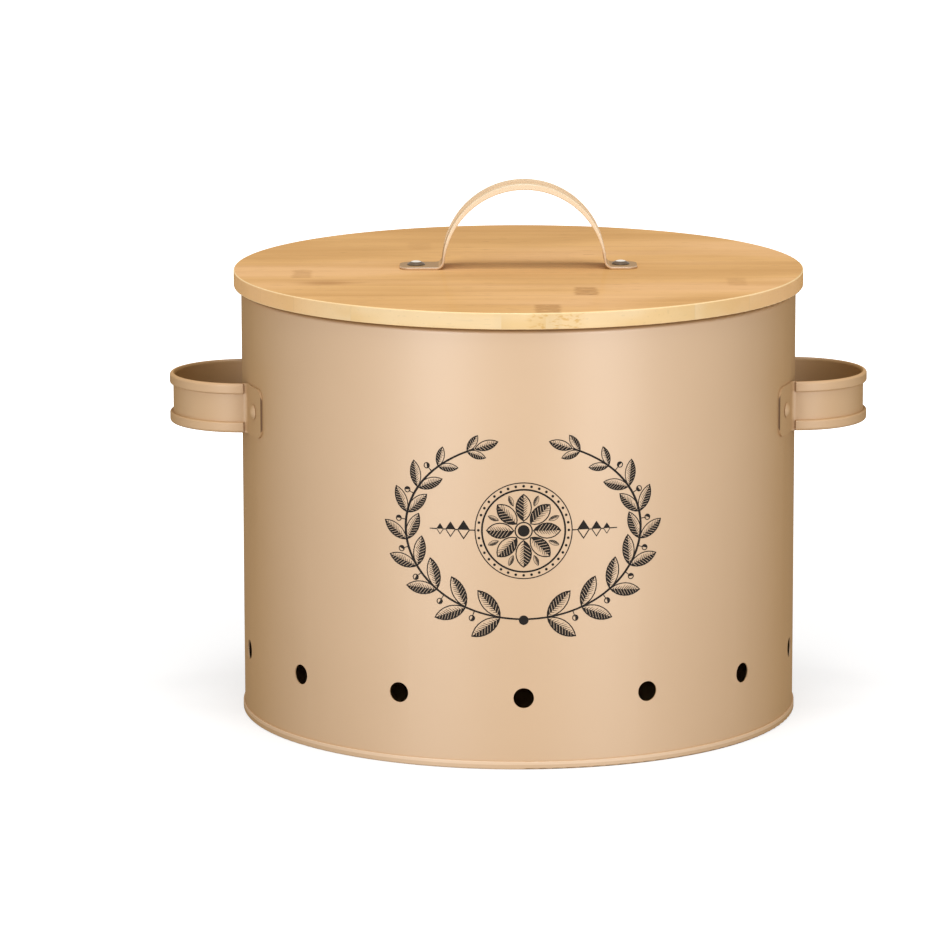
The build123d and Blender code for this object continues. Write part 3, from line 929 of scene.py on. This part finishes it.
# %% [markdown]
# ### The wreath
# Two stems start crossed at the bottom and follow an oval up each side, open at the top. Leaves
# stand in pairs, one inside and one outside the stem, and get smaller towards the tips. The
# left-hand branch mirrors the right-hand one, but each leaf leans a little its own way.

# %% Wreath
wreath_across, wreath_up = 47.0, 35.0  # half axes of the stems' oval, in millimetres
branch_start, branch_end = -99, 66  # degrees round the oval, from the crossing to the tip
leaf_pairs = 9
first_pair, last_gap = 20, 4  # degrees, crossing to first pair and last pair to tip
berry_back = 4.5  # degrees from a pair of leaves back to its berry
leaf_lean = 38  # degrees between a leaf and the stem
leaf_sway = 5  # degrees that a leaf may lean more or less
stalk_length = 2.6
berry_distance = 3.1  # stem to the middle of a berry


def oval(degrees):
    """A point on the stems' oval and the direction of growth there."""
    angle = math.radians(degrees)
    point = (wreath_across * math.cos(angle), wreath_up * math.sin(angle))
    growth = math.atan2(wreath_up * math.cos(angle), -wreath_across * math.sin(angle))
    return point, growth


def branch(stems, leaves, berries, hand):
    """One branch; hand is 1 for the right-hand side and -1 for the left."""
    side = set_down(size=(hand, 1))
    before = set(stems.verts)
    arc_band(stems, 1.0, 0.020, branch_start, branch_end, 60)
    grown = [v for v in stems.verts if v not in before]
    bmesh.ops.transform(stems, matrix=side @ set_down(size=(wreath_across, wreath_up)), verts=grown)
    for index in range(leaf_pairs):
        share = index / (leaf_pairs - 1)
        pair_angle = branch_start + first_pair
        pair_angle += share * (branch_end - branch_start - first_pair - last_gap)
        spot, growth = oval(pair_angle)
        size = 1.0 - 0.28 * share
        for lean, flip in ((leaf_lean, 1), (-leaf_lean, -1)):
            turn = growth + math.radians(lean + draw.uniform(-leaf_sway, leaf_sway))
            shape = leaf if index < leaf_pairs - 2 else small_leaf
            repeat(leaves, shape, side @ set_down(spot, turn, (size, flip * size)))
        if 0 < index < leaf_pairs - 1:
            nest, way = oval(pair_angle - berry_back)
            stalk = way - math.radians(90)
            centre = step_from(nest, stalk, berry_distance)
            before = set(stems.verts)
            stroke(stems, stalk_length, 0.4, nest, stalk, 0.6)
            bmesh.ops.transform(stems, matrix=side, verts=[v for v in stems.verts if v not in before])
            repeat(berries, berry, side @ set_down(centre, draw.uniform(0, 6.28)))
    spot, growth = oval(branch_end)
    repeat(leaves, small_leaf, side @ set_down(spot, growth, (0.9, 0.9)))


wreath_stems, wreath_leaves, wreath_berries = bmesh.new(), bmesh.new(), bmesh.new()
for hand in (1, -1):
    branch(wreath_stems, wreath_leaves, wreath_berries, hand)
disc(wreath_berries, 1.9, (0, -wreath_up - 0.4))
print_on_wall([wreath_stems, wreath_leaves, wreath_berries], "print_wreath")

# %% [markdown]
# ### The rosette and the lozenges
# One petal is repeated eight times round the middle, with small leaves half a step between them.
# Two rings with beads between them frame the flower. The lozenges are circles of four segments,
# pulled long, and shaded like the leaves, with a rule between them.

# %% Rosette
petal_count = 8
bead_count = 36
petal_start, bud_start = 3.6, 10.4  # middle of the rosette to the foot of a petal and of a bud
ring_lines = ((16.2, 0.7), (18.9, 0.4))  # radius and width of the two rings
bead_place, bead_radius = 17.6, 0.55


def ring_of(sheet, mesh, count, distance, size, start=0.0):
    """Repeats a drawing round the middle, each pointing outwards."""
    for k in range(count):
        angle = start + 2 * math.pi * k / count
        repeat(sheet, mesh, set_down(step_from((0, 0), angle, distance), angle, (size, size)))


petals, rings = bmesh.new(), bmesh.new()
ring_of(petals, small_leaf, petal_count, bud_start, 0.42, math.pi / petal_count)
ring_of(rings, petal, petal_count, petal_start, 1.0)
for radius, width in ring_lines:
    arc_band(rings, radius, width, 0, 360, 72)
for k in range(bead_count):
    spot = step_from((0, 0), 2 * math.pi * k / bead_count, bead_place)
    disc(rings, bead_radius, spot, 8)
arc_band(rings, 3.3, 0.5, 0, 360, 32)
disc(rings, 2.3)
print_on_wall([petals, rings], "print_rosette")

# %% Lozenges
lozenge_places = ((23.4, 0.85), (28.6, 0.7), (32.8, 0.5))  # distance from the middle, size
rules = ((19.1, 20.9), (25.95, 26.5), (30.7, 31.3), (34.3, 37.0))  # where each line starts and ends

lozenge_sheet = bmesh.new()
made = bmesh.ops.create_circle(lozenge_sheet, cap_ends=True, segments=4, radius=3 * MM)
half_shade(lozenge_sheet, made["verts"][0].link_faces[0], line_width)
lozenge = keep_mesh(lozenge_sheet, "lozenge")

lozenges = bmesh.new()
for hand in (1, -1):
    for distance, size in lozenge_places:
        repeat(lozenges, lozenge, set_down((hand * distance, 0), 0.0, (size, 1.5 * size)))
    for near, far in rules:
        stroke(lozenges, far - near, 0.45, (hand * near, 0), 0.0 if hand > 0 else math.pi, 0.8)
print_on_wall([lozenges], "print_lozenges")

# %% [markdown]
# ## Floor, backdrop and light
# The bin stands on a white floor that runs out of sight. Close by, the floor is a plain matt
# surface that takes the bin's shadow; further out it fades into the white of the world. That
# white is only for the eye and for reflections, and it is not sampled as a lamp. Two tall soft
# boxes in front give the wall its pair of long sheens. A small one above and a larger one high
# in front light the lid.

# %% World
sky_level = 0.44


def seen_directly(tree):
    """1 for what the eye sees, also in a mirror or through glass, and 0 for what is lit."""
    path = add(tree, "LightPath").outputs
    seen = maths(tree, "MAXIMUM", path["Is Camera Ray"], path["Is Glossy Ray"])
    return maths(tree, "MAXIMUM", seen, path["Is Transmission Ray"])


world = bpy.data.worlds.new("studio")
world.use_nodes = True
bpy.context.scene.world = world
sky = world.node_tree
background = sky.nodes["Background"]
background.inputs["Color"].default_value = (1, 1, 1, 1)
feed(sky, background.inputs["Strength"], spread(sky, seen_directly(sky), 0, 1, sky_level, 1.0))
print(f"World: white to the eye, {sky_level} as light")


# %% Floor
floor_radius = 3.0
floor_fade_start = 0.2  # from the bin's axis, where the floor starts to turn white
floor_fade_end = 0.5
floor_lift = 0.62  # glow that makes the grey floor near white and keeps its shadow

floor_mesh = bmesh.new()
bmesh.ops.create_circle(floor_mesh, cap_ends=True, segments=96, radius=floor_radius)
floor_data = bpy.data.meshes.new("floor")
floor_mesh.to_mesh(floor_data)
floor_mesh.free()
floor = bpy.data.objects.new("floor", floor_data)
bpy.context.scene.collection.objects.link(floor)

floor_material, floor_tree, floor_shader, floor_point = new_material("floor")
floor_shader.inputs["Base Color"].default_value = tone(180, 180, 180)
floor_shader.inputs["Roughness"].default_value = 1.0
floor_shader.inputs["Specular IOR Level"].default_value = 0.0
floor_seen = seen_directly(floor_tree)
far = spread(floor_tree, vectors(floor_tree, "LENGTH", floor_point), floor_fade_start, floor_fade_end)
white = add(floor_tree, "Emission")
white.inputs["Color"].default_value = (1, 1, 1, 1)
white_mix = add(floor_tree, "MixShader")
feed(floor_tree, white_mix.inputs["Fac"], maths(floor_tree, "MULTIPLY", floor_seen, far))
feed(floor_tree, white_mix.inputs[1], floor_shader.outputs[0])
feed(floor_tree, white_mix.inputs[2], white.outputs[0])
lift = add(floor_tree, "Emission")
lift.inputs["Color"].default_value = (1, 1, 1, 1)
feed(floor_tree, lift.inputs["Strength"], maths(floor_tree, "MULTIPLY", floor_seen, floor_lift))
both = add(floor_tree, "AddShader")
feed(floor_tree, both.inputs[0], white_mix.outputs[0])
feed(floor_tree, both.inputs[1], lift.outputs[0])
feed(floor_tree, floor_tree.nodes["Material Output"].inputs["Surface"], both.outputs[0])
floor_material.cycles.emission_sampling = "NONE"  # its glow is for the eye and lights nothing
floor_data.materials.append(floor_material)
print(f"Floor {2 * floor_radius:.0f} m across")


# %% Soft boxes
def soft_box(name, azimuth, elevation, distance, width, height, watts, aim):
    """A rectangular lamp that faces the aim point from this direction; azimuth 0 is the front."""
    lamp = bpy.data.lights.new(name, "AREA")
    lamp.shape = "RECTANGLE"
    lamp.size = width
    lamp.size_y = height
    lamp.energy = watts
    box = bpy.data.objects.new(name, lamp)
    turn, lift_angle = math.radians(azimuth), math.radians(elevation)
    direction = Vector((
        math.sin(turn) * math.cos(lift_angle),
        -math.cos(turn) * math.cos(lift_angle),
        math.sin(lift_angle),
    ))
    box.location = aim + direction * distance
    box.rotation_euler = direction.to_track_quat("Z", "Y").to_euler()
    bpy.context.scene.collection.objects.link(box)


middle = Vector((0, 0, 0.5 * wall_top))
soft_boxes = {
    # azimuth and elevation in degrees, distance, width and height in metres, watts
    "box_left": (-31, 4, 1.6, 0.45, 0.9, 11.2),
    "box_right": (31, 4, 1.6, 0.45, 0.9, 11.2),
    "box_above": (0, 83, 1.5, 0.34, 0.34, 8.2),
    "box_high": (0, 64, 1.5, 0.5, 0.5, 3.9),
}
for name, settings in soft_boxes.items():
    soft_box(name, *settings, middle)
